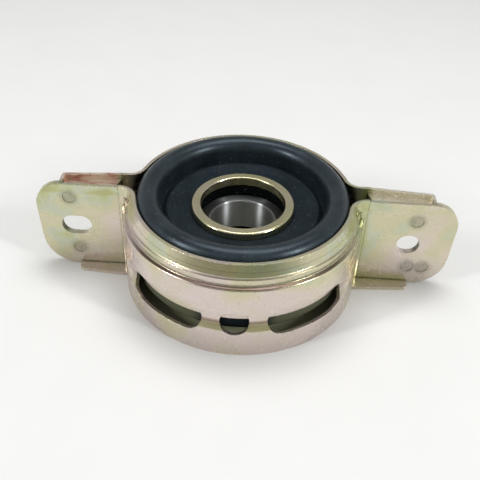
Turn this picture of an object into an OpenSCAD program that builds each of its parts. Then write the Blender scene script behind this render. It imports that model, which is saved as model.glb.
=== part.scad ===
// Driveshaft centre bearing: a sealed ball bearing in a folded rubber cushion,
// held by two pressed steel housing halves that meet at a pair of bolting ears.
// Millimetres. Z runs along the shaft, X through the ears, the front half faces -Y.
// The origin is the middle of the shaft bore.

/* [Bearing] */
// Shaft bore of the inner ring
bore_d = 30; // [26:0.5:33]
// Outside diameter of the outer ring
bearing_od = 62; // [58:0.5:65]
// Width of both rings
bearing_w = 16; // [13:0.5:18]
// Ball diameter
ball_d = 9.5; // [8.5:0.1:10.2]
// Depth of the ball grooves below the ring shoulders
groove_depth = 1.65; // [1.2:0.05:2]

/* [Dust covers] */
// Outside diameter of the standing collar
collar_od = 46.4; // [45:0.2:48]
// Width of the collar's folded edge, from outside to inside
collar_w = 4.2; // [3.6:0.1:4.8]
// Height of the collar above the bearing's face
collar_h = 10.2; // [9:0.2:12]
// Depth of the collar's inner fold
fold_h = 4.3; // [3:0.1:5.5]
// Sheet thickness of the covers
cover_t = 1.2; // [0.8:0.1:1.4]

/* [Cushion] */
// Wall of the steel sleeve round the bearing
sleeve_t = 1.8; // [1.2:0.1:2.2]
// Rubber thickness outside the sleeve
hub_wall = 3.1; // [2.5:0.1:3.5]
// Width of the hollow inside the lobe, as a share of the lobe's width
hollow_share = 0.27; // [0.15:0.01:0.4]
// Height of the lobe's crest above the housing rim
lobe_rise = 2.5; // [1:0.1:4]
// Wall of the cushion's outer steel shell
shell_t = 1.6; // [1.2:0.1:2]

/* [Housing] */
// Outside diameter of the main wall
wall_od = 108; // [106:0.5:114]
// Sheet thickness of the housing
sheet_t = 1.5; // [1.2:0.1:2]
// Height of the rim above the bearing's middle plane
rim_z = 23.5; // [22.5:0.5:27]
// Depth of the base below the bearing's middle plane
base_z = 23; // [21:0.5:26]
// How far the rim is drawn in from the main wall
rim_inset = 5; // [4.6:0.1:5.4]
// Depth of the bead pressed into the main wall
bead_depth = 1.5; // [1:0.1:1.7]
// Height of the long windows
window_h = 14.6; // [12:0.2:16]
// Diameter of the round window in the middle
eye_d = 12.4; // [9:0.2:13.5]

/* [Ears] */
// Distance between the bolt hole and the bolt slot
hole_spacing = 153; // [150:0.5:160]
// Diameter of the bolt hole and width of the bolt slot
hole_d = 10.5; // [8.5:0.1:12]
// Length of the bolt slot
slot_len = 14; // [12.5:0.5:17]
// Ear beyond the middle of the slot, on the left
ear_end_left = 18; // [16:0.5:22]
// Ear beyond the middle of the hole, on the right
ear_end_right = 21; // [18:0.5:24]
// Depth of the flat flanges at the base
flange_depth = 8.4; // [6:0.2:11]
// Depth of the cupped flanges at the top
cup_depth = 9.6; // [7.5:0.2:11]

/* [Hidden] */
$fn = 96;

zinc = "#b9af8d";
steel = "#b8babc";
rubber = "#2f3740";
seal_black = "#1c1d1f";

// Clearances
seat_gap = 0.1;
run_gap = 0.3;
ball_gap = 0.12;
rivet_gap = 0.05;
join = 0.05;

// Corner radii of pressed and moulded pieces
edge_r = 0.3;
press_r = 0.6;
mould_r = 0.8;
draw_r = 1;

// Bearing
half_w = bearing_w / 2;
bearing_r = bearing_od / 2;
bore_r = bore_d / 2;
ball_count = 9;
ball_r = ball_d / 2;
pitch_r = (bore_d + bearing_od) / 4;
inner_r = pitch_r - ball_r + groove_depth;
outer_r = pitch_r + ball_r - groove_depth;
ring_edge = 0.8;
cage_t = 0.9;
cage_half_band = 1.7;
rivet_r = 0.6;
rivet_head_r = 1.05;
rivet_head_h = 0.45;
seal_t = 1.1;
seal_in = 0.5;
seal_seat = 0.9;

// Dust covers and lips
collar_r = collar_od / 2;
collar_in = collar_r - collar_w;
collar_z = half_w + collar_h;
cover_z = half_w + seat_gap;
disc_inset = 0.4;
disc_r = bearing_r - disc_inset;
lip_inset = 0.4;
lip_r = collar_in + lip_inset;
lip_flare = 0.3;
lip_gap = 2 * run_gap;

// Sleeve
sleeve_in = bearing_r + seat_gap;
sleeve_r = sleeve_in + sleeve_t;
sleeve_lip = 1.2;
sleeve_lip_t = 1.5;
sleeve_lip_r = disc_r - sleeve_lip;
sleeve_lip_z = cover_z + cover_t + seat_gap;
sleeve_z = sleeve_lip_z + sleeve_lip_t;

// Housing section
wall_r = wall_od / 2;
rim_r = wall_r - rim_inset;
band_inset = 1.8;
step_inset = 0.9;
step_drop = 4.7;
band_drop = 5.4;
ledge_drop = 9.3;
band_r = wall_r - band_inset;
step_r = band_r - step_inset;
step_z = rim_z - step_drop;
band_z = rim_z - band_drop;
ledge_z = rim_z - ledge_drop;
sheet_drop = 0.7;
over = 1;
top_r = rim_r - over * (step_r - rim_r) / (rim_z - step_z);
ledge_rise = 0.2;
bead_r = wall_r - bead_depth;
bead_top = 0.5;
bead_lead = 0.8;
bead_flat = 5.5;
bead_h = 9.5;
bead_low = bead_top - bead_flat;
bead_end = bead_top - bead_h;
window_z = -5;
eye_z = -4.8;
window_from = 15.3;
window_to = 57.5;
bead_reach = 68;
bead_full = 61;
runout_r = 14;
runout_lap = 0.5;
cut_depth = 8;

// Ears and bends
skin = 0.01;
bend_lead = 2;
far_lead = 1;
cup_drop = 2.4;
pocket_drop = 0.7;
pocket_lead = 2.6;
bend_x = wall_r + bend_lead;
top_corner_r = 12;
low_corner_r = 16;
ear_taper = 2;
hole_x = hole_spacing / 2;
hole_z = 0.5;
ear_drop = 0.5;
ear_top = rim_z - ear_drop;
fold_r = 2.2;
flange_taper = 1.8;
flange_corner = 2.5;
cup_x = wall_r - far_lead;
cup_taper = 2.6;
cup_corner = 1.6;
cup_floor = rim_z - cup_drop;
pocket_z = ledge_z - pocket_drop;
pocket_in = bend_x + pocket_lead;
pocket_slant = 2.8;
weld_off = 2;
weld_rise = 15.5;
weld_drop = 13.2;
weld_d = 6;
weld_gap = 0.7;
weld_step = weld_d + weld_gap;
weld_depth = 0.2;

// Cushion
shell_r = bead_r - sheet_t - run_gap;
shell_in = shell_r - shell_t;
shell_top = ledge_z - sheet_t - seat_gap;
shell_low = -4.7;
hub_r = sleeve_r + hub_wall;
valley_w = 1.2;
lobe_in = hub_r + valley_w;
lobe_out = rim_r - sheet_t - run_gap;
lobe_r = (lobe_out - lobe_in) / 2;
lobe_mid = (lobe_out + lobe_in) / 2;
lobe_z = rim_z + lobe_rise - lobe_r;
hollow_drop = 1;
hollow_r = lobe_r * hollow_share;
hollow_z = lobe_z - hollow_drop;
shell_lip_share = 0.68;
shell_lip_r = lobe_mid + lobe_r * shell_lip_share;
floor_drop = 3.4;
floor_z = collar_z - floor_drop;
ridge_h = 1.6;
ridge_w = 1.2;
ridge_foot = 2.2;
ridge_back = 2.4;
ridge_round = 1.4;
ridge_r = hub_r - ridge_back;
valley_drop = 0.6;
valley_z = floor_z - valley_drop;
hub_edge = 2;
web_z = 4;
skirt_drop = 8.3;
skirt_z = shell_low - skirt_drop;
skirt_w = shell_in - seat_gap - lobe_mid - hollow_r + join;
skirt_fillet = 3;
skirt_edge = min(skirt_fillet, skirt_w - 2 * mould_r);

// One corner of a path, rounded to its third value
function corner(a, b, c, n = 6) =
    b[2] <= 0 ? [[b[0], b[1]]] :
    let (
        at = [b[0], b[1]],
        u = [a[0] - b[0], a[1] - b[1]] / norm([a[0] - b[0], a[1] - b[1]]),
        v = [c[0] - b[0], c[1] - b[1]] / norm([c[0] - b[0], c[1] - b[1]]),
        half = acos(u * v) / 2,
        centre = at + (u + v) / norm(u + v) * b[2] / sin(half),
        first = at + u * b[2] / tan(half) - centre,
        last = at + v * b[2] / tan(half) - centre,
        sweep = atan2(cross(first, last), first * last),
        start = atan2(first[1], first[0])
    )
    [for (i = [0:n]) centre + b[2] * [cos(start + sweep * i / n), sin(start + sweep * i / n)]];

// Closed path of [x, y, corner radius] entries
function rounded(path) = [
    for (i = [0:len(path) - 1])
        each corner(path[(i + len(path) - 1) % len(path)], path[i], path[(i + 1) % len(path)])
];

module ring(r_out, r_in, z0, z1) {
    rotate_extrude()
        translate([r_in, z0])
            square([r_out - r_in, z1 - z0]);
}

module at_balls() {
    for (k = [0:ball_count - 1])
        rotate([0, 0, 360 / ball_count * k])
            translate([pitch_r, 0, 0])
                children();
}

module at_rivets() {
    for (k = [0:ball_count - 1])
        rotate([0, 0, 360 / ball_count * (k + 0.5)])
            translate([pitch_r, 0, 0])
                children();
}

// Bearing rings

module ball_groove() {
    rotate_extrude()
        translate([pitch_r, 0])
            circle(r = ball_r + ball_gap);
}

module inner_ring() {
    color(steel)
        difference() {
            rotate_extrude()
                polygon(rounded([
                    [bore_r, -half_w, ring_edge],
                    [inner_r, -half_w, ring_edge / 2],
                    [inner_r, half_w, ring_edge / 2],
                    [bore_r, half_w, ring_edge]
                ]));
            ball_groove();
        }
}

module outer_ring() {
    color(steel)
        difference() {
            rotate_extrude()
                polygon(rounded([
                    [bearing_r, -half_w, ring_edge],
                    [bearing_r, half_w, ring_edge],
                    [outer_r + seal_seat, half_w, 0],
                    [outer_r + seal_seat, half_w - seal_in - seal_t - seat_gap, 0],
                    [outer_r, half_w - seal_in - seal_t - seat_gap, 0],
                    [outer_r, -half_w + seal_in + seal_t + seat_gap, 0],
                    [outer_r + seal_seat, -half_w + seal_in + seal_t + seat_gap, 0],
                    [outer_r + seal_seat, -half_w, 0]
                ]));
            ball_groove();
        }
}

module ball(k) {
    color(steel)
        rotate([0, 0, 360 / ball_count * (k - 1)])
            translate([pitch_r, 0, 0])
                sphere(r = ball_r);
}

// Cage: two pressed ribbons that cup the balls and meet on flat tabs

module ribbon() {
    difference() {
        intersection() {
            ring(pitch_r + cage_half_band, pitch_r - cage_half_band, 0, ball_d);
            union() {
                ring(pitch_r + cage_half_band, pitch_r - cage_half_band, 0, cage_t);
                at_balls() sphere(r = ball_r + ball_gap + cage_t);
            }
        }
        at_balls() sphere(r = ball_r + ball_gap);
        at_rivets() cylinder(r = rivet_r + rivet_gap, h = 3 * cage_t, center = true);
    }
}

module cage_upper() {
    color(steel) ribbon();
}

module cage_lower() {
    color(steel) mirror([0, 0, 1]) ribbon();
}

module cage_rivets() {
    color(steel)
        at_rivets() {
            cylinder(r = rivet_r, h = 2 * (cage_t + rivet_head_h), center = true);
            for (s = [0, 1])
                mirror([0, 0, s])
                    translate([0, 0, cage_t])
                        cylinder(r = rivet_head_r, h = rivet_head_h);
        }
}

// Seals, covers and lips: the upper ones face +Z, the lower ones mirror them

module seal() {
    ring(outer_r + seal_seat - seat_gap, inner_r + run_gap, half_w - seal_in - seal_t, half_w - seal_in);
}

module seal_upper() {
    color(seal_black) seal();
}

module seal_lower() {
    color(seal_black) mirror([0, 0, 1]) seal();
}

module dust_cover() {
    rotate_extrude()
        polygon(rounded([
            [disc_r, cover_z, 0],
            [disc_r, cover_z + cover_t, edge_r],
            [collar_r, cover_z + cover_t, press_r],
            [collar_r, collar_z, draw_r],
            [collar_in, collar_z, press_r],
            [collar_in, collar_z - fold_h, edge_r],
            [collar_in + cover_t, collar_z - fold_h, edge_r],
            [collar_in + cover_t, collar_z - cover_t, 0],
            [collar_r - cover_t, collar_z - cover_t, 0],
            [collar_r - cover_t, cover_z, 0]
        ]));
}

module dust_cover_upper() {
    color(zinc) dust_cover();
}

module dust_cover_lower() {
    color(zinc) mirror([0, 0, 1]) dust_cover();
}

module dust_lip() {
    rotate_extrude()
        polygon(rounded([
            [collar_r - cover_t - seat_gap, half_w + lip_gap, 0],
            [collar_r - cover_t - seat_gap, collar_z - fold_h - seat_gap, 0],
            [lip_r + lip_flare, collar_z - fold_h - seat_gap, edge_r],
            [lip_r, half_w + lip_gap, edge_r]
        ]));
}

module dust_lip_upper() {
    color(seal_black) dust_lip();
}

module dust_lip_lower() {
    color(seal_black) mirror([0, 0, 1]) dust_lip();
}

// Cushion

module bearing_sleeve() {
    color(zinc)
        rotate_extrude()
            polygon(rounded([
                [sleeve_r, -sleeve_z, draw_r],
                [sleeve_r, sleeve_z, draw_r],
                [sleeve_lip_r, sleeve_z, edge_r],
                [sleeve_lip_r, sleeve_lip_z, 0],
                [sleeve_in, sleeve_lip_z, 0],
                [sleeve_in, -sleeve_lip_z, 0],
                [sleeve_lip_r, -sleeve_lip_z, 0],
                [sleeve_lip_r, -sleeve_z, edge_r]
            ]));
}

module cushion_section() {
    polygon(rounded([
        [collar_r + seat_gap, floor_z, edge_r],
        [ridge_r - ridge_w / 2 - ridge_foot, floor_z, hub_edge],
        [ridge_r - ridge_w / 2, floor_z + ridge_h, ridge_round],
        [ridge_r + ridge_w / 2, floor_z + ridge_h, ridge_round],
        [hub_r, valley_z, press_r],
        [lobe_in + join, valley_z, press_r],
        [lobe_in + join, lobe_z, 0],
        [lobe_out - join, lobe_z, 0],
        [lobe_out - join, shell_top + seat_gap, 0],
        [shell_lip_r - seat_gap, shell_top + seat_gap, 0],
        [shell_lip_r - seat_gap, shell_top - shell_t - seat_gap, 0],
        [shell_in - seat_gap, shell_top - shell_t - seat_gap, 0],
        [shell_in - seat_gap, skirt_z, skirt_edge],
        [lobe_mid + hollow_r - join, skirt_z, mould_r],
        [lobe_mid + hollow_r - join, hollow_z, 0],
        [lobe_mid - hollow_r + join, hollow_z, 0],
        [lobe_mid - hollow_r + join, web_z, mould_r],
        [hub_r, web_z, hub_edge],
        [hub_r, -floor_z, hub_edge],
        [collar_r + seat_gap, -floor_z, edge_r],
        [collar_r + seat_gap, -sleeve_lip_z, press_r],
        [sleeve_lip_r - seat_gap, -sleeve_lip_z, 0],
        [sleeve_lip_r - seat_gap, -sleeve_z - seat_gap, 0],
        [sleeve_r + seat_gap, -sleeve_z - seat_gap, 0],
        [sleeve_r + seat_gap, sleeve_z + seat_gap, 0],
        [sleeve_lip_r - seat_gap, sleeve_z + seat_gap, 0],
        [sleeve_lip_r - seat_gap, sleeve_lip_z, 0],
        [collar_r + seat_gap, sleeve_lip_z, press_r]
    ]));
}

module rubber_cushion() {
    color(rubber)
        difference() {
            union() {
                rotate_extrude() cushion_section();
                rotate_extrude() translate([lobe_mid, lobe_z]) circle(r = lobe_r);
            }
            rotate_extrude() translate([lobe_mid, hollow_z]) circle(r = hollow_r);
        }
}

module cushion_shell() {
    color(zinc)
        rotate_extrude()
            polygon(rounded([
                [shell_r, shell_low, edge_r],
                [shell_r, shell_top, draw_r],
                [shell_lip_r, shell_top, edge_r],
                [shell_lip_r, shell_top - shell_t, edge_r],
                [shell_in, shell_top - shell_t, 0],
                [shell_in, shell_low, edge_r]
            ]));
}

// Housing halves

// Radius of the bend that leads a wall of radius r into a flat face at depth d from x on
function bend_r(r, x, d) = (x * x + d * d - r * r) / (2 * (r - d));
// Turn from the middle of the half to the end of a wall of radius r
function wall_end(r, x, d) = atan2(x, d + bend_r(r, x, d));

// Section of the half's wall, with a groove on the outside and a swell on the inside
module wall_section(groove, swell) {
    floor_r = wall_r - groove;
    back_r = wall_r - sheet_t;
    polygon(rounded([
        [top_r, rim_z + over, 0],
        [step_r, step_z, edge_r],
        [band_r, band_z, edge_r],
        [band_r, ledge_z + press_r, press_r],
        [wall_r, ledge_z, draw_r],
        [wall_r, bead_top, groove > 0 ? edge_r : 0],
        [floor_r, bead_top - bead_lead, groove > 0 ? edge_r : 0],
        [floor_r, bead_low, groove > 0 ? draw_r : 0],
        [wall_r, bead_end, groove > 0 ? draw_r : 0],
        [wall_r, -base_z - over, 0],
        [back_r, -base_z - over, 0],
        [back_r, bead_end - bead_lead, 0],
        [back_r - swell, bead_low - bead_lead, 0],
        [back_r - swell, bead_top + bead_lead, 0],
        [back_r, bead_top + 2 * bead_lead, 0],
        [back_r, ledge_z - sheet_t + ledge_rise, 0],
        [band_r - sheet_t, ledge_z - sheet_t + press_r + ledge_rise, 0],
        [band_r - sheet_t, band_z - sheet_drop, 0],
        [step_r - sheet_t, step_z - sheet_drop, 0],
        [top_r - sheet_t, rim_z + over, 0]
    ]));
}

// Hollow that lets the groove run out of the wall, to the right of the half
module runout() {
    rotate([0, 0, bead_full - runout_lap])
        translate([0, -bead_r - runout_r, 0])
            rotate_extrude()
                polygon([
                    [0, bead_top],
                    [runout_r - bead_depth, bead_top],
                    [runout_r, bead_top - bead_lead],
                    [runout_r, bead_low],
                    [runout_r - bead_depth, bead_end],
                    [0, bead_end]
                ]);
}

// Turns a section about Z, from one angle to another off the -Y direction
module swept(from, to) {
    rotate([0, 0, from - 90])
        rotate_extrude(angle = to - from)
            children();
}

// Sheet that turns from a wall of radius r0, r1 above, into a flat face at depth d from x on
module bend(r0, r1, z0, z1, x, d) {
    b0 = bend_r(r0, x, d);
    b1 = bend_r(r1, x, d);
    intersection() {
        difference() {
            bend_skin(b0, b1, z0, z1, x, d, sheet_t - 2 * join);
            bend_skin(b0, b1, z0 - over, z1 + over, x, d, 2 * join);
        }
        translate([0, 0, z0])
            linear_extrude(z1 - z0)
                polygon([[0, 0], [x, -d - b1], [x, 0]]);
    }
}

module bend_skin(b0, b1, z0, z1, x, d, grow) {
    if (b0 == b1)
        translate([x, -d - b0, z0])
            cylinder(r = b0 + grow, h = z1 - z0);
    else
        hull() {
            translate([x, -d - b0, z0])
                cylinder(r = b0 + grow, h = skin, $fn = 64);
            translate([x, -d - b1, z1 - skin])
                cylinder(r = b1 + grow, h = skin, $fn = 64);
        }
}

// Wall of one half, whose upper part turns into a face at depth d from x on
module half_ring(x, d) {
    rim_end = wall_end(top_r, x, d);
    difference() {
        swept(-bead_full, bead_full) wall_section(bead_depth, bead_depth);
        windows();
    }
    for (s = [0, 1])
        mirror([s, 0, 0]) {
            difference() {
                swept(bead_full - join, bead_reach) wall_section(0, bead_depth);
                runout();
            }
            swept(bead_reach - join, rim_end + join) wall_section(0, 0);
            swept(rim_end - join, wall_end(wall_r, bend_x, sheet_t) + join)
                translate([wall_r - sheet_t + join, -base_z - over])
                    square([sheet_t - 2 * join, over + base_z + ledge_z]);
            swept(rim_end - join, wall_end(band_r, x, d) + join)
                translate([band_r - sheet_t + join, ledge_z - sheet_t])
                    square([sheet_t - 2 * join, band_z - ledge_z + sheet_t - join]);
            bend(wall_r, wall_r, -base_z - 2 * over, ledge_z - join, bend_x, sheet_t);
            bend(band_r, band_r, ledge_z - sheet_t + ledge_rise, band_z - 2 * join, x, d);
            bend(step_r, top_r, band_z - sheet_drop, rim_z + over, x, d);
        }
}

// Long window: a turned block with round ends that stand just proud of its edges
module long_window() {
    r = window_h / 2;
    turn = r / wall_r * 180 / PI;
    swept(window_from + turn, window_to - turn)
        translate([wall_r - cut_depth, window_z - r])
            square([2 * cut_depth, window_h]);
    for (a = [window_from + turn, window_to - turn])
        rotate([0, 0, a])
            translate([0, -wall_r, window_z])
                rotate([90, 0, 0])
                    cylinder(r = r + join, h = 2 * cut_depth, center = true);
}

module windows() {
    for (s = [0, 1])
        mirror([s, 0, 0]) long_window();
    translate([0, -wall_r, eye_z])
        rotate([90, 0, 0])
            cylinder(d = eye_d, h = 2 * cut_depth, center = true);
}

// Ear plate to the right, with its back face on the parting plane
module ear_plate(reach) {
    rotate([90, 0, 0])
        linear_extrude(sheet_t)
            polygon(rounded([
                [bend_x - join, -base_z + join, 0],
                [reach - ear_taper, -base_z + join, low_corner_r],
                [reach, ear_top, top_corner_r],
                [bend_x - join, ear_top, 0]
            ]));
}

// Plan of the flat flange that leaves the wall and runs out along the ear
module flange_plan(end) {
    b = bend_r(wall_r, bend_x, sheet_t);
    difference() {
        union() {
            polygon(rounded([
                [bend_x - join, -flange_depth, 0],
                [end, -flange_depth + flange_taper, flange_corner],
                [end, 0, 0],
                [bend_x - join, 0, 0]
            ]));
            intersection() {
                translate([bend_x, -sheet_t - b]) circle(r = b + sheet_t / 3);
                translate([bend_x - b - sheet_t, -flange_depth]) square([b + sheet_t, flange_depth]);
            }
            translate([wall_r - sheet_t, -flange_depth])
                square([bend_x - wall_r + sheet_t, flange_depth - sheet_t - b]);
        }
        circle(r = wall_r - sheet_t / 2);
    }
}

// Rounds the outside of the fold between ear and base flange
module fold_cut(end) {
    translate([bend_x, 0, 0])
        rotate([90, 0, 90])
            linear_extrude(end - bend_x)
                difference() {
                    translate([-fold_r, -base_z - over]) square([fold_r + over, fold_r + over]);
                    translate([-fold_r, -base_z + fold_r]) circle(r = fold_r);
                }
}

// Ear of the front half, to the right, with its lower edge folded out
module front_ear(reach) {
    end = reach - ear_taper - low_corner_r;
    difference() {
        union() {
            ear_plate(reach);
            translate([0, 0, -base_z - 3 * over])
                linear_extrude(sheet_t + 3 * over)
                    flange_plan(end);
        }
        fold_cut(end);
    }
}

// Upright cut through a plan, between two heights
module plan_cut(z0, z1, plan) {
    translate([0, 0, z0])
        linear_extrude(z1 - z0)
            polygon(plan);
}

// Ear of the rear half, to the right: its top is folded out into a shallow cup,
// and next to the wall a pocket opens the cup toward the cushion
module rear_ear(reach) {
    end = reach - top_corner_r;
    rear = -cup_depth + join;
    back = rear + sheet_t - 2 * join;
    tip = back + cup_taper;
    difference() {
        union() {
            ear_plate(reach);
            plan_cut(pocket_z - sheet_t, rim_z + over, rounded([
                [cup_x - join, rear, 0],
                [bend_x, rear, 0],
                [end, rear + cup_taper, cup_corner],
                [end, -join, 0],
                [cup_x - join, -join, 0]
            ]));
        }
        plan_cut(pocket_z, rim_z + 2 * over, [
            [cup_x - sheet_t, back],
            [pocket_in - pocket_slant, back],
            [pocket_in, over],
            [cup_x - sheet_t, over]
        ]);
        plan_cut(cup_floor, rim_z + 2 * over, [
            [pocket_in - 2 * pocket_slant, back],
            [bend_x, back],
            [end - sheet_t, tip],
            [end - sheet_t, over],
            [pocket_in - 2 * pocket_slant, over]
        ]);
        plan_cut(pocket_z - 2 * sheet_t, cup_floor - sheet_t, [
            [pocket_in + sheet_t - pocket_slant, -2 * cup_depth],
            [end + over, -2 * cup_depth],
            [end + over, -sheet_t],
            [pocket_in + sheet_t, -sheet_t]
        ]);
    }
}

module bolt_cuts() {
    translate([hole_x, 0, hole_z])
        rotate([90, 0, 0])
            cylinder(d = hole_d, h = 4 * sheet_t, center = true);
    for (s = [-1, 1])
        translate([-hole_x + s * (slot_len - hole_d) / 2, 0, hole_z])
            rotate([90, 0, 0])
                cylinder(d = hole_d, h = 4 * sheet_t, center = true);
    translate([-hole_x, 0, hole_z])
        cube([slot_len - hole_d, 4 * sheet_t, hole_d], center = true);
}

// Shallow dents that spot welding leaves above and below each bolt hole,
// set a little apart from its middle, with a second try below the round hole
module weld_dents() {
    spots = [
        [-hole_x - weld_off, weld_rise],
        [-hole_x, -weld_drop],
        [hole_x + weld_off, weld_drop],
        [hole_x + weld_off, -weld_drop],
        [hole_x + weld_off + weld_step, -weld_drop]
    ];
    for (spot = spots)
        translate([spot[0], -sheet_t, hole_z + spot[1]])
            rotate([90, 0, 0])
                cylinder(d = weld_d, h = 2 * weld_depth, center = true);
}

// What stands past the base and the rim before both are trimmed flush
module surplus() {
    span = 2 * hole_spacing;
    for (z = [-base_z - span / 2, rim_z + span / 2])
        translate([0, 0, z])
            cube(span, center = true);
}

// Bolt holes, weld marks and the trimmed edges, on either half
module press_work() {
    difference() {
        children();
        bolt_cuts();
        weld_dents();
        surplus();
    }
}

module housing_front() {
    color(zinc)
        press_work() {
            half_ring(bend_x, sheet_t);
            front_ear(hole_x + ear_end_right);
            mirror([1, 0, 0]) front_ear(hole_x + ear_end_left);
        }
}

module housing_rear() {
    color(zinc)
        mirror([0, 1, 0])
            press_work() {
                half_ring(cup_x, cup_depth);
                rear_ear(hole_x + ear_end_right);
                mirror([1, 0, 0]) rear_ear(hole_x + ear_end_left);
            }
}

inner_ring();
outer_ring();
ball(1);  // ball_1
ball(2);  // ball_2
ball(3);  // ball_3
ball(4);  // ball_4
ball(5);  // ball_5
ball(6);  // ball_6
ball(7);  // ball_7
ball(8);  // ball_8
ball(9);  // ball_9
cage_upper();
cage_lower();
cage_rivets();
seal_upper();
seal_lower();
dust_cover_upper();
dust_cover_lower();
dust_lip_upper();
dust_lip_lower();
bearing_sleeve();
rubber_cushion();
cushion_shell();
housing_front();
housing_rear();
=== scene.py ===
import bpy
from mathutils import Matrix, Vector

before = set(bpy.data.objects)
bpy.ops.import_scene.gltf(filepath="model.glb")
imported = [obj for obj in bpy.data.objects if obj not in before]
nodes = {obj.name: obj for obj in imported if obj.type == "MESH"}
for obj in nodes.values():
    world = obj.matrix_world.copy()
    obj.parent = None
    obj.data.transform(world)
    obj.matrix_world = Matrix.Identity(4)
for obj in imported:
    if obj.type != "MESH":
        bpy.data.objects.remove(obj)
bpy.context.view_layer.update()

MM = 0.001

# Places on the part, in millimetres, as the solids have them
WALL_R = 54.0
EAR_ROOT = 56.0
SHOULDER_Z = 14.2
BASE_Z = -23.0
RECESS_Z = 16.5
CUP_Y = 1.7
EYE_EDGE = 12.0
SKIRT_Z = -1.0
WELD_R = 3.0
WELDS = [(-78.5, 16.0), (-76.5, -12.7), (78.5, 13.7), (78.5, -12.7), (85.2, -12.7)]
# Height, half width, depth and tone of the dark lines painted round the wall at the pressed steps as painted
# shade, and of the bands painted on the bead's lower slope as painted reflection
SHADE_AND_REFLECTION_LINES = [
    (14.5, 0.4, 0.85, "#4a3226"),
    (18.3, 0.28, 0.5, "#4a3226"),
    (20.6, 0.2, 0.3, "#4a3226"),
    # The last two rows are bands on the bead's lower slope: painted reflection
    (-5.0, 0.9, 0.55, "#7a5a34"),
    (-7.6, 2.0, 0.6, "#9a9a58"),
]


def linear(code):
    """sRGB hex to linear colour."""
    parts = [int(code[i:i + 2], 16) / 255 for i in (1, 3, 5)]
    return tuple(c / 12.92 if c <= 0.04045 else ((c + 0.055) / 1.055) ** 2.4 for c in parts) + (1.0,)


def add(tree, kind, sets=None, links=None):
    """One node, with its settings and what feeds its inputs."""
    node = tree.nodes.new(kind)
    for key, value in (sets or {}).items():
        if key == "stops":
            ramp = node.color_ramp
            while len(ramp.elements) < len(value):
                ramp.elements.new(1.0)
            for stop, (place, code) in zip(ramp.elements, value):
                stop.position = place
                stop.color = linear(code)
        elif isinstance(key, str) and hasattr(node, key):
            setattr(node, key, value)
        else:
            node.inputs[key].default_value = value
    for key, socket in (links or {}).items():
        tree.links.new(socket, node.inputs[key])
    return node


def blank(name):
    """An empty material with its output, and the place on the piece in metres."""
    made = bpy.data.materials.new(name)
    made.use_nodes = True
    tree = made.node_tree
    tree.nodes.clear()
    out = add(tree, "ShaderNodeOutputMaterial")
    place = add(tree, "ShaderNodeTexCoord").outputs["Object"]
    return made, tree, out.inputs["Surface"], place


def per(size_mm):
    """Noise scale that gives spots of about this size."""
    return 1 / (size_mm * MM)


def film_zones_and_fold_shade(tree, where, side, facing, film):
    """The film is thicker on the ears and the crown, thinner on the right ear and on ledges; folds, found by
    occlusion, are pushed toward darker olive as painted shade.
    """
    up = add(tree, "ShaderNodeSeparateXYZ", links={0: facing}).outputs["Z"]
    open_sky = add(tree, "ShaderNodeAmbientOcclusion",
                   {"samples": 8, "only_local": True, "Distance": 6 * MM}).outputs["AO"]
    bare = add(tree, "ShaderNodeMath", {"operation": "MAXIMUM"}, {0: open_sky, 1: up}).outputs[0]
    zones = [
        (side, (EAR_ROOT - 4) * MM, (EAR_ROOT + 6) * MM, 0.0, 0.10),
        (where["X"], (EAR_ROOT - 4) * MM, (EAR_ROOT + 16) * MM, 0.0, -0.07),
        (where["Z"], (SHOULDER_Z + 3.5) * MM, (SHOULDER_Z + 5) * MM, 0.0, 0.10),
        # Folds, found by occlusion, are pushed toward darker olive: painted shade
        (bare, 0.55, 0.9, 0.22, 0.0),
        (up, 0.5, 0.9, 0.0, -0.04),
    ]
    for value, low, high, first, last in zones:
        zone = add(tree, "ShaderNodeMapRange",
                   {"interpolation_type": "SMOOTHSTEP", "From Min": low, "From Max": high,
                    "To Min": first, "To Max": last}, {"Value": value})
        film = add(tree, "ShaderNodeMath", {"operation": "ADD"}, {0: film, 1: zone.outputs[0]}).outputs[0]
    return film


def weld_burns(tree, place, tint):
    """Spot welding burns the film off in a mottled grey-green patch round each dent."""
    flat = add(tree, "ShaderNodeVectorMath", {"operation": "MULTIPLY", 1: (1, 0, 1)}, {0: place})
    burnt = None
    for x, z in WELDS:
        away = add(tree, "ShaderNodeVectorMath", {"operation": "DISTANCE", 1: (x * MM, 0, z * MM)},
                   {0: flat.outputs[0]})
        mark = add(tree, "ShaderNodeMapRange",
                   {"From Min": WELD_R * 0.7 * MM, "From Max": WELD_R * 1.9 * MM,
                    "To Min": 0.85, "To Max": 0.0, "interpolation_type": "SMOOTHSTEP"},
                   {"Value": away.outputs["Value"]}).outputs[0]
        if burnt is not None:
            mark = add(tree, "ShaderNodeMath", {"operation": "MAXIMUM"}, {0: burnt, 1: mark}).outputs[0]
        burnt = mark
    spatter = add(tree, "ShaderNodeTexNoise", {"Scale": per(1.6), "Detail": 3.0, "Roughness": 0.7},
                  {"Vector": place})
    patchy = add(tree, "ShaderNodeMath", {"operation": "MULTIPLY"}, {0: burnt, 1: spatter.outputs["Fac"]})
    return add(tree, "ShaderNodeMix", {"data_type": "RGBA", 7: linear("#6a6c60")},
               {0: patchy.outputs[0], 6: tint}).outputs[2]


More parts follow.
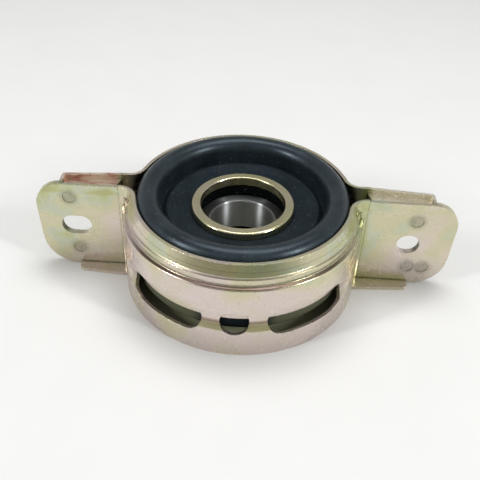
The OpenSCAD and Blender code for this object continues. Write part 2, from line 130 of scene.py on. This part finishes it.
def painted_inside_shade(tree, place, facing, tint):
    """Faces turned to the axis are painted dark olive: painted shade inside the housing."""
    outward = add(tree, "ShaderNodeVectorMath", {"operation": "MULTIPLY", 1: (1, 1, 0)}, {0: place})
    outward = add(tree, "ShaderNodeVectorMath", {"operation": "NORMALIZE"}, {0: outward.outputs[0]})
    turned = add(tree, "ShaderNodeVectorMath", {"operation": "DOT_PRODUCT"},
                 {0: facing, 1: outward.outputs[0]})
    inside = add(tree, "ShaderNodeMapRange",
                 {"From Min": -0.75, "From Max": -0.4, "To Min": 0.85, "To Max": 0.0},
                 {"Value": turned.outputs["Value"]})
    return add(tree, "ShaderNodeMix", {"data_type": "RGBA", 7: linear("#3c3d2a")},
               {0: inside.outputs[0], 6: tint}).outputs[2]


def painted_step_and_bead_lines(tree, where, side, tint):
    """Rust-brown lines painted at the steps that the die set last are painted shade in their creases; brown
    and olive bands on the bead's lower slope are painted reflection.
    """
    for height, half, depth, stain_and_painted_shade in SHADE_AND_REFLECTION_LINES:
        off = add(tree, "ShaderNodeMath", {"operation": "SUBTRACT", 1: height * MM}, {0: where["Z"]})
        off = add(tree, "ShaderNodeMath", {"operation": "ABSOLUTE"}, {0: off.outputs[0]})
        line = add(tree, "ShaderNodeMapRange",
                   {"From Min": half * 0.6 * MM, "From Max": half * MM, "To Min": depth, "To Max": 0.0},
                   {"Value": off.outputs[0]})
        before_ears = add(tree, "ShaderNodeMapRange",
                          {"From Min": (EAR_ROOT - 16) * MM, "From Max": (EAR_ROOT - 5) * MM,
                           "To Min": 1.0, "To Max": 0.0}, {"Value": side})
        line = add(tree, "ShaderNodeMath", {"operation": "MULTIPLY"},
                   {0: line.outputs[0], 1: before_ears.outputs[0]})
        tint = add(tree, "ShaderNodeMix", {"data_type": "RGBA", 7: linear(stain_and_painted_shade)},
                   {0: line.outputs[0], 6: tint}).outputs[2]
    return tint


def corner_painted_shade(tree, tint):
    """Corners within about a millimetre are painted brown-dark: painted shade."""
    corner = add(tree, "ShaderNodeAmbientOcclusion",
                 {"samples": 8, "only_local": True, "Distance": 1.2 * MM})
    corner_shade = add(tree, "ShaderNodeMapRange",
                {"From Min": 0.5, "From Max": 0.92, "To Min": 0.7, "To Max": 0.0},
                {"Value": corner.outputs["AO"]})
    return add(tree, "ShaderNodeMix", {"data_type": "RGBA", 7: linear("#4f3e2a")},
               {0: corner_shade.outputs[0], 6: tint}).outputs[2]


def cup_film_and_highlight(tree, place, where, side, tint):
    """In the cups of the top flanges the film dried thick: copper streaks on rose at left, cream at right,
    with pale tones that are painted highlight.
    """
    along = add(tree, "ShaderNodeMapping", {"Scale": (0.25, 1.0, 1.0)}, {"Vector": place})
    streak = add(tree, "ShaderNodeTexNoise", {"Scale": per(3), "Detail": 3.0, "Roughness": 0.6},
                 {"Vector": along.outputs[0]})
    cream = add(tree, "ShaderNodeMapRange",
                {"From Min": -EAR_ROOT * MM, "From Max": EAR_ROOT * MM, "To Max": 0.25},
                {"Value": where["X"]})
    streak = add(tree, "ShaderNodeMath", {"operation": "ADD"},
                 {0: streak.outputs["Fac"], 1: cream.outputs[0]})
    # The pale tones are painted highlight on the copper and rose film
    thick_film_and_highlight = add(tree, "ShaderNodeValToRGB",
                {"stops": [(0.36, "#c08a78"), (0.48, "#ecd2c2"), (0.66, "#f6efdd")]},
                {"Fac": streak.outputs[0]})
    behind = add(tree, "ShaderNodeMapRange", {"From Min": CUP_Y * MM, "From Max": (CUP_Y + 0.9) * MM},
                 {"Value": where["Y"]})
    beyond = add(tree, "ShaderNodeMapRange",
                 {"From Min": EAR_ROOT * MM, "From Max": (EAR_ROOT + 3) * MM, "To Max": 0.95},
                 {"Value": side})
    cup = add(tree, "ShaderNodeMath", {"operation": "MULTIPLY"},
              {0: behind.outputs[0], 1: beyond.outputs[0]})
    return add(tree, "ShaderNodeMix", {"data_type": "RGBA"},
               {0: cup.outputs[0], 6: tint, 7: thick_film_and_highlight.outputs["Color"]}).outputs[2]


# Steel sheet, zinc plated and yellow passivated: a soft metal gloss under a thin film, rose on the flats and
# olive toward folds, the darker olive there painted shade. The pressed sheet adds weld burns, die marks,
# painted brown shade in its corners, painted dark olive shade on its insides, painted shade lines at its
# steps and edges that catch the light.
def yellow_zinc(name, tones, rough, pressed):
    made, tree, surface, place = blank(name)
    cloud = add(tree, "ShaderNodeTexNoise",
                {"Scale": per(34), "Detail": 2.0, "Roughness": 0.5, "Distortion": 0.5}, {"Vector": place})
    patch = add(tree, "ShaderNodeTexNoise",
                {"Scale": per(11), "Detail": 3.0, "Roughness": 0.5, "Distortion": 0.4}, {"Vector": place})
    film = add(tree, "ShaderNodeMath", {"operation": "MULTIPLY_ADD", 1: 0.3},
               {0: patch.outputs["Fac"], 2: cloud.outputs["Fac"]}).outputs[0]
    where = add(tree, "ShaderNodeSeparateXYZ", links={0: place}).outputs
    side = add(tree, "ShaderNodeMath", {"operation": "ABSOLUTE"}, {0: where["X"]}).outputs[0]
    facing = add(tree, "ShaderNodeNewGeometry").outputs["True Normal"]
    if pressed:
        film = film_zones_and_fold_shade(tree, where, side, facing, film)
    tint = add(tree, "ShaderNodeValToRGB", {"stops": tones}, {"Fac": film}).outputs["Color"]

    # Zinc crystals show as a faint mottle, drawn coarser than the real 0.1 mm so that it shows
    crystal = add(tree, "ShaderNodeTexNoise", {"Scale": per(0.9), "Detail": 2.0}, {"Vector": place})
    mottle = add(tree, "ShaderNodeMapRange",
                 {"From Min": 0.3, "From Max": 0.7, "To Min": 0.97, "To Max": 1.03},
                 {"Value": crystal.outputs["Fac"]})
    tint = add(tree, "ShaderNodeVectorMath", {"operation": "SCALE"},
               {0: tint, "Scale": mottle.outputs[0]}).outputs[0]

    # The die leaves the sheet slightly wavy
    wave = add(tree, "ShaderNodeTexNoise", {"Scale": per(12), "Detail": 1.0}, {"Vector": place})
    waviness = add(tree, "ShaderNodeBump", {"Strength": 1.0, "Distance": (0.1 if pressed else 0.015) * MM},
                   {"Height": wave.outputs["Fac"]})
    relief = waviness
    if pressed:
        tint = weld_burns(tree, place, tint)
        tint = painted_inside_shade(tree, place, facing, tint)
        tint = painted_step_and_bead_lines(tree, where, side, tint)
        tint = corner_painted_shade(tree, tint)
        tint = cup_film_and_highlight(tree, place, where, side, tint)
        edge = add(tree, "ShaderNodeBevel", {"samples": 4, "Radius": 0.25 * MM})
        tree.links.new(edge.outputs[0], waviness.inputs["Normal"])
        # Upright lines where the die dragged, drawn coarser than the real 0.1 mm so that they show
        upright = add(tree, "ShaderNodeMapping", {"Scale": (1.0, 1.0, 0.05)}, {"Vector": place})
        drag = add(tree, "ShaderNodeTexNoise", {"Scale": per(0.8), "Detail": 2.0},
                   {"Vector": upright.outputs[0]})
        relief = add(tree, "ShaderNodeBump", {"Strength": 0.5, "Distance": 0.012 * MM},
                     {"Height": drag.outputs["Fac"], "Normal": waviness.outputs[0]})

    gloss = add(tree, "ShaderNodeMapRange",
                {"From Min": 0.3, "From Max": 0.7, "To Min": rough - 0.05, "To Max": rough + 0.06},
                {"Value": patch.outputs["Fac"]})
    metal = add(tree, "ShaderNodeBsdfPrincipled", {"Metallic": 0.92 if pressed else 1.0},
                {"Base Color": tint, "Roughness": gloss.outputs[0], "Normal": relief.outputs[0]})
    tree.links.new(metal.outputs[0], surface)
    return made


# Ground bearing steel: neutral grey, with fine rings left by the wheel that stretch its highlights
# into upright streaks.
def ground_steel(name, tone, rough, stretch):
    made, tree, surface, place = blank(name)
    flat = add(tree, "ShaderNodeVectorMath", {"operation": "MULTIPLY", 1: (1, 1, 0)}, {0: place})
    radius = add(tree, "ShaderNodeVectorMath", {"operation": "LENGTH"}, {0: flat.outputs[0]})
    height = add(tree, "ShaderNodeSeparateXYZ", links={0: place}).outputs["Z"]
    lathe = add(tree, "ShaderNodeCombineXYZ", links={"X": radius.outputs["Value"], "Y": height})
    # Rings of the grinding wheel, drawn coarser than the real 0.02 mm so that they show
    rings = add(tree, "ShaderNodeTexNoise", {"Scale": per(0.35), "Detail": 2.0},
                {"Vector": lathe.outputs[0]})
    stain_and_painted_shade = add(tree, "ShaderNodeTexNoise", {"Scale": per(6), "Detail": 3.0}, {"Vector": place})
    level = add(tree, "ShaderNodeMapRange",
                {"From Min": 0.3, "From Max": 0.7, "To Min": 0.88, "To Max": 1.06},
                {"Value": stain_and_painted_shade.outputs["Fac"]})
    # Faces square to the axis are painted darker: painted shade on the end faces
    facing = add(tree, "ShaderNodeNewGeometry").outputs["True Normal"]
    end_on = add(tree, "ShaderNodeSeparateXYZ", links={0: facing}).outputs["Z"]
    end_on = add(tree, "ShaderNodeMath", {"operation": "ABSOLUTE"}, {0: end_on})
    end_face_shade = add(tree, "ShaderNodeMapRange",
               {"From Min": 0.6, "From Max": 0.95, "To Min": 1.0, "To Max": 0.22},
               {"Value": end_on.outputs[0]})
    level = add(tree, "ShaderNodeMath", {"operation": "MULTIPLY"}, {0: level.outputs[0], 1: end_face_shade.outputs[0]})
    tint = add(tree, "ShaderNodeVectorMath", {"operation": "SCALE", 0: linear(tone)[:3]},
               {"Scale": level.outputs[0]})
    gloss = add(tree, "ShaderNodeMapRange",
                {"From Min": 0.3, "From Max": 0.7, "To Min": rough - 0.03, "To Max": rough + 0.04},
                {"Value": rings.outputs["Fac"]})
    round_axis = add(tree, "ShaderNodeTangent", {"direction_type": "RADIAL", "axis": "Z"})
    metal = add(tree, "ShaderNodeBsdfPrincipled",
                {"Metallic": 1.0, "Anisotropic": stretch, "Anisotropic Rotation": 0.25},
                {"Base Color": tint.outputs[0], "Roughness": gloss.outputs[0],
                 "Tangent": round_axis.outputs[0]})
    tree.links.new(metal.outputs[0], surface)
    return made


# Moulded rubber: blue-black with a satin skin that is matt down in the recess, a fine pore from the
# mould and a little settled dust.
def moulded_rubber(name, deep, pale, rough, dust, shine):
    made, tree, surface, place = blank(name)
    where = add(tree, "ShaderNodeSeparateXYZ", links={0: place}).outputs
    blotch = add(tree, "ShaderNodeTexNoise", {"Scale": per(14), "Detail": 4.0, "Roughness": 0.6},
                 {"Vector": place})
    # Pores and dust specks, drawn coarser than the real 0.1 mm so that they show
    pores = add(tree, "ShaderNodeTexNoise", {"Scale": per(0.7), "Detail": 3.0, "Roughness": 0.7},
                {"Vector": place})
    grains = add(tree, "ShaderNodeMapRange",
                 {"From Min": 0.62, "From Max": 0.74, "To Min": 0.0, "To Max": 2 * dust},
                 {"Value": pores.outputs["Fac"]})
    haze = add(tree, "ShaderNodeMapRange",
               {"From Min": 0.35, "From Max": 0.7, "To Min": 0.0, "To Max": dust},
               {"Value": blotch.outputs["Fac"]})
    settled = add(tree, "ShaderNodeMath", {"operation": "ADD", "use_clamp": True},
                  {0: grains.outputs[0], 1: haze.outputs[0]})
    tint = add(tree, "ShaderNodeMix", {"data_type": "RGBA", 6: linear(deep), 7: linear(pale)},
               {0: settled.outputs[0]})
    lint = add(tree, "ShaderNodeTexNoise", {"Scale": per(0.8), "Detail": 1.0}, {"Vector": place})
    fleck = add(tree, "ShaderNodeMapRange",
                {"From Min": 0.69, "From Max": 0.76, "To Min": 0.0, "To Max": dust},
                {"Value": lint.outputs["Fac"]})
    tint = add(tree, "ShaderNodeMix", {"data_type": "RGBA", 7: linear("#8a9398")},
               {0: fleck.outputs[0], 6: tint.outputs[2]})

    # Low down and away from the eye in the middle, the skirt behind the long windows looks olive
    side = add(tree, "ShaderNodeMath", {"operation": "ABSOLUTE"}, {0: where["X"]})
    beside = add(tree, "ShaderNodeMapRange",
                 {"From Min": EYE_EDGE * MM, "From Max": (EYE_EDGE + 6) * MM, "To Max": 0.75},
                 {"Value": side.outputs[0]})
    skirt = add(tree, "ShaderNodeMapRange",
                {"From Min": SKIRT_Z * MM, "From Max": (SKIRT_Z + 3) * MM, "To Min": 1.0, "To Max": 0.0},
                {"Value": where["Z"]})
    skirt = add(tree, "ShaderNodeMath", {"operation": "MULTIPLY"},
                {0: skirt.outputs[0], 1: beside.outputs[0]})
    tint = add(tree, "ShaderNodeMix", {"data_type": "RGBA", 7: linear("#62634c")},
               {0: skirt.outputs[0], 6: tint.outputs[2]})

    gloss = add(tree, "ShaderNodeMapRange",
                {"From Min": 0.3, "From Max": 0.7, "To Min": rough - 0.05, "To Max": rough + 0.1},
                {"Value": blotch.outputs["Fac"]})
    recess = {"From Min": RECESS_Z * MM, "From Max": (RECESS_Z + 4) * MM,
              "interpolation_type": "SMOOTHSTEP"}
    matt = add(tree, "ShaderNodeMapRange", {**recess, "To Min": 0.25, "To Max": 0.0}, {"Value": where["Z"]})
    gloss = add(tree, "ShaderNodeMath", {"operation": "ADD"}, {0: gloss.outputs[0], 1: matt.outputs[0]})
    sheen = add(tree, "ShaderNodeMapRange", {**recess, "To Min": shine * 0.25, "To Max": shine},
                {"Value": where["Z"]})
    pitted = add(tree, "ShaderNodeBump", {"Strength": 0.5, "Distance": 0.02 * MM},
                 {"Height": pores.outputs["Fac"]})
    skin = add(tree, "ShaderNodeBsdfPrincipled",
               {"IOR": 1.52, "Specular Tint": linear("#dcf2ff")},
               {"Base Color": tint.outputs[2], "Roughness": gloss.outputs[0], "Normal": pitted.outputs[0],
                "Specular IOR Level": sheen.outputs[0]})
    tree.links.new(skin.outputs[0], surface)
    return made


# Film colours from thin to thick
SHEET_TONES = [(0.40, "#d8cac8"), (0.56, "#d6cac3"), (0.70, "#d3cab4"), (0.80, "#cdc9a8"),
               (0.87, "#c4c8b2"), (0.93, "#c2c49c"), (1.0, "#b5b685")]
COVER_TONES = [(0.45, "#d4cab6"), (0.62, "#cdc8a5"), (0.78, "#c1bf90"), (0.92, "#b2b17f")]

sheet = yellow_zinc("yellow_zinc_pressed_sheet", SHEET_TONES, 0.27, True)
cover = yellow_zinc("yellow_zinc_drawn_cover", COVER_TONES, 0.24, False)
race = ground_steel("ground_bearing_steel", "#b4b7b8", 0.40, 1.0)
ball_steel = ground_steel("lapped_ball_steel", "#cfd1d2", 0.1, 0.0)
strip = ground_steel("stamped_cage_strip", "#a9a8a3", 0.34, 0.3)
cushion = moulded_rubber("moulded_cushion_rubber", "#161d22", "#323d44", 0.32, 0.3, 0.42)
lip = moulded_rubber("moulded_nitrile_lip", "#060708", "#0d0e0f", 0.5, 0.25, 0.2)

# The balls, which aren't listed, take the lapped steel
FINISH = {
    "inner_ring": race, "outer_ring": race,
    "cage_upper": strip, "cage_lower": strip, "cage_rivets": strip,
    "seal_upper": lip, "seal_lower": lip, "dust_lip_upper": lip, "dust_lip_lower": lip,
    "dust_cover_upper": cover, "dust_cover_lower": cover,
    "bearing_sleeve": sheet, "cushion_shell": sheet, "housing_front": sheet, "housing_rear": sheet,
    "rubber_cushion": cushion,
}
for name, piece in nodes.items():
    piece.data.materials.clear()
    piece.data.materials.append(FINISH.get(name, ball_steel))


def studio_sheet(name, corners, material, in_picture):
    """One flat sheet of the studio, from its four corners in metres."""
    mesh = bpy.data.meshes.new(name)
    mesh.from_pydata(corners, [], [(0, 1, 2, 3)])
    mesh.materials.append(material)
    made = bpy.data.objects.new(name, mesh)
    bpy.context.scene.collection.objects.link(made)
    made.visible_camera = in_picture
    made.visible_diffuse = in_picture
    made.visible_shadow = in_picture


# Floor: a matt pale sheet under and round the part, which fades into the room far from it. Below the part,
# where only the windows and the bore show it, it is painted olive and dark: painted shadow.
def studio_floor():
    made, tree, surface, place = blank("matt_white_card")
    grain = add(tree, "ShaderNodeTexNoise", {"Scale": per(30), "Detail": 2.0}, {"Vector": place})
    tint = add(tree, "ShaderNodeMix", {"data_type": "RGBA", 6: linear("#e0e0df"), 7: linear("#e4e4e3")},
               {0: grain.outputs["Fac"]})
    away = add(tree, "ShaderNodeVectorMath", {"operation": "LENGTH"}, {0: place}).outputs["Value"]
    covered = add(tree, "ShaderNodeMapRange",
                  {"From Min": (WALL_R - 2) * MM, "From Max": (WALL_R + 3) * MM,
                   "To Min": 0.9, "To Max": 0.0}, {"Value": away})
    inward = add(tree, "ShaderNodeMapRange", {"From Min": 0.0, "From Max": WALL_R * MM}, {"Value": away})
    # The middle below the part is painted near black: painted shadow
    painted_shadow_below = add(tree, "ShaderNodeValToRGB", {"stops": [(0.3, "#26261f"), (0.6, "#d2d2a6")]},
                {"Fac": inward.outputs[0]})
    tint = add(tree, "ShaderNodeMix", {"data_type": "RGBA"},
               {0: covered.outputs[0], 6: tint.outputs[2], 7: painted_shadow_below.outputs["Color"]})
    # A deeper shadow close to the part
    close = add(tree, "ShaderNodeAmbientOcclusion", {"samples": 8, "Distance": 30 * MM})
    shadow = add(tree, "ShaderNodeMapRange",
                 {"From Min": 0.45, "From Max": 0.95, "To Min": 0.74, "To Max": 1.0},
                 {"Value": close.outputs["AO"]})
    tint = add(tree, "ShaderNodeVectorMath", {"operation": "SCALE"},
               {0: tint.outputs[2], "Scale": shadow.outputs[0]})
    card = add(tree, "ShaderNodeBsdfPrincipled", {"Roughness": 0.9, "Specular IOR Level": 0.2},
               {"Base Color": tint.outputs[0]})
    fade = add(tree, "ShaderNodeMapRange",
               {"From Min": 0.55, "From Max": 1.15, "interpolation_type": "SMOOTHSTEP"}, {"Value": away})
    clear = add(tree, "ShaderNodeBsdfTransparent")
    both = add(tree, "ShaderNodeMixShader",
               links={0: fade.outputs[0], 1: card.outputs[0], 2: clear.outputs[0]})
    tree.links.new(both.outputs[0], surface)
    half = 1.2
    z = BASE_Z * MM
    studio_sheet("floor", [(-half, -half, z), (half, -half, z), (half, half, z), (-half, half, z)],
                 made, True)


# A brown card lies on the floor in front of the part, out of the picture, and shows only in the metal
def front_card():
    half, front, rear = 0.4, -0.6, -0.15
    z = (BASE_Z + 0.5) * MM
    made, tree, surface, place = blank("brown_card")
    depth = add(tree, "ShaderNodeSeparateXYZ", links={0: place}).outputs["Y"]
    run = add(tree, "ShaderNodeMapRange", {"From Min": rear, "From Max": front}, {"Value": depth})
    tint = add(tree, "ShaderNodeValToRGB",
               {"stops": [(0.0, "#93a070"), (0.2, "#8a6a3e"), (0.7, "#54422a")]}, {"Fac": run.outputs[0]})
    matt = add(tree, "ShaderNodeBsdfPrincipled", {"Roughness": 0.9, "Specular IOR Level": 0.2},
               {"Base Color": tint.outputs["Color"]})
    tree.links.new(matt.outputs[0], surface)
    studio_sheet("front_card", [(-half, front, z), (half, front, z), (half, rear, z), (-half, rear, z)],
                 made, False)


# A screen stands in front, behind the camera: brown and olive low down, dark above and pale at the top.
# It fades out to its sides and shows only in the metal and the rubber.
def front_screen():
    half, away, top = 2.0, -1.0, 2.0
    low = BASE_Z * MM
    made, tree, surface, place = blank("olive_screen")
    where = add(tree, "ShaderNodeSeparateXYZ", links={0: place}).outputs
    side = add(tree, "ShaderNodeMath", {"operation": "ABSOLUTE"}, {0: where["X"]})
    rise = add(tree, "ShaderNodeMapRange", {"From Min": 0.0, "From Max": 1.4}, {"Value": where["Z"]})
    # The pale top starts higher in the middle
    sag = add(tree, "ShaderNodeMapRange",
              {"From Min": 0.12, "From Max": 0.28, "To Min": 0.7, "To Max": 1.0},
              {"Value": side.outputs[0]})
    rise = add(tree, "ShaderNodeMath", {"operation": "MULTIPLY"}, {0: rise.outputs[0], 1: sag.outputs[0]})
    tint = add(tree, "ShaderNodeValToRGB",
               {"stops": [(0.0, "#5f4a2c"), (0.12, "#979d77"), (0.32, "#3e3f36"), (0.42, "#4a4a42"),
                          (0.56, "#cfcecb")]}, {"Fac": rise.outputs[0]})
    glow = add(tree, "ShaderNodeEmission", {"Strength": 1.0}, {"Color": tint.outputs["Color"]})
    fade = add(tree, "ShaderNodeMapRange",
               {"From Min": 0.6, "From Max": 1.9, "interpolation_type": "SMOOTHSTEP"},
               {"Value": side.outputs[0]})
    clear = add(tree, "ShaderNodeBsdfTransparent")
    both = add(tree, "ShaderNodeMixShader",
               links={0: fade.outputs[0], 1: glow.outputs[0], 2: clear.outputs[0]})
    tree.links.new(both.outputs[0], surface)
    studio_sheet("front_screen",
                 [(-half, away, low), (half, away, low), (half, away, top), (-half, away, top)], made, False)


def soft_box(name, at, size, power):
    """A soft lamp that shines at the middle of the part."""
    lamp = bpy.data.lights.new(name, "AREA")
    lamp.shape = "RECTANGLE"
    lamp.size, lamp.size_y = size
    lamp.energy = power
    box = bpy.data.objects.new(name, lamp)
    box.location = at
    box.rotation_euler = (-Vector(at)).to_track_quat("-Z", "Y").to_euler()
    bpy.context.scene.collection.objects.link(box)


def studio_world():
    """Pale room light, brightest at the horizon to both sides, dimmer overhead, in front and behind."""
    world = bpy.data.worlds.new("room")
    world.use_nodes = True
    bpy.context.scene.world = world
    tree = world.node_tree
    tree.nodes.clear()
    way = add(tree, "ShaderNodeTexCoord").outputs["Generated"]
    toward = add(tree, "ShaderNodeSeparateXYZ", links={0: way}).outputs
    tint = add(tree, "ShaderNodeValToRGB",
               {"stops": [(0.0, "#ececea"), (0.35, "#d2d1ce"), (0.62, "#d2d1cf"), (0.9, "#a0a09f")]},
               {"Fac": toward["Z"]})
    side = add(tree, "ShaderNodeMath", {"operation": "ABSOLUTE"}, {0: toward["X"]})
    level = add(tree, "ShaderNodeMapRange",
                {"From Min": 0.2, "From Max": 0.85, "To Min": 0.64, "To Max": 0.98},
                {"Value": side.outputs[0]})
    glow = add(tree, "ShaderNodeBackground",
               links={"Color": tint.outputs["Color"], "Strength": level.outputs[0]})
    out = add(tree, "ShaderNodeOutputWorld")
    tree.links.new(glow.outputs[0], out.inputs["Surface"])


def photo_camera():
    """Stands in front and above, turned a little about its own axis."""
    eye = bpy.data.cameras.new("camera")
    eye.sensor_fit = "HORIZONTAL"
    eye.sensor_width = 36.0
    eye.lens = 52.5
    eye.clip_start = 0.01
    camera = bpy.data.objects.new("camera", eye)
    stand = Vector((7.118, -253.237, 203.547)) * MM
    right = Vector((0.99789377, 0.05657026, 0.03174649))
    up = Vector((-0.06039915, 0.63173354, 0.77282901))
    turn = Matrix((right, up, right.cross(up))).transposed()
    camera.matrix_world = Matrix.Translation(stand) @ turn.to_4x4()
    bpy.context.scene.collection.objects.link(camera)
    bpy.context.scene.camera = camera


studio_floor()
front_card()
front_screen()
studio_world()
soft_box("top_box", (0.05, 0.17, 0.84), (0.6, 0.4), 3.6)
soft_box("left_box", (-0.72, -0.40, 0.56), (0.10, 0.30), 3.6)
soft_box("right_box", (0.72, -0.40, 0.56), (0.10, 0.30), 3.6)
photo_camera()
bpy.context.scene.view_settings.view_transform = "Standard"
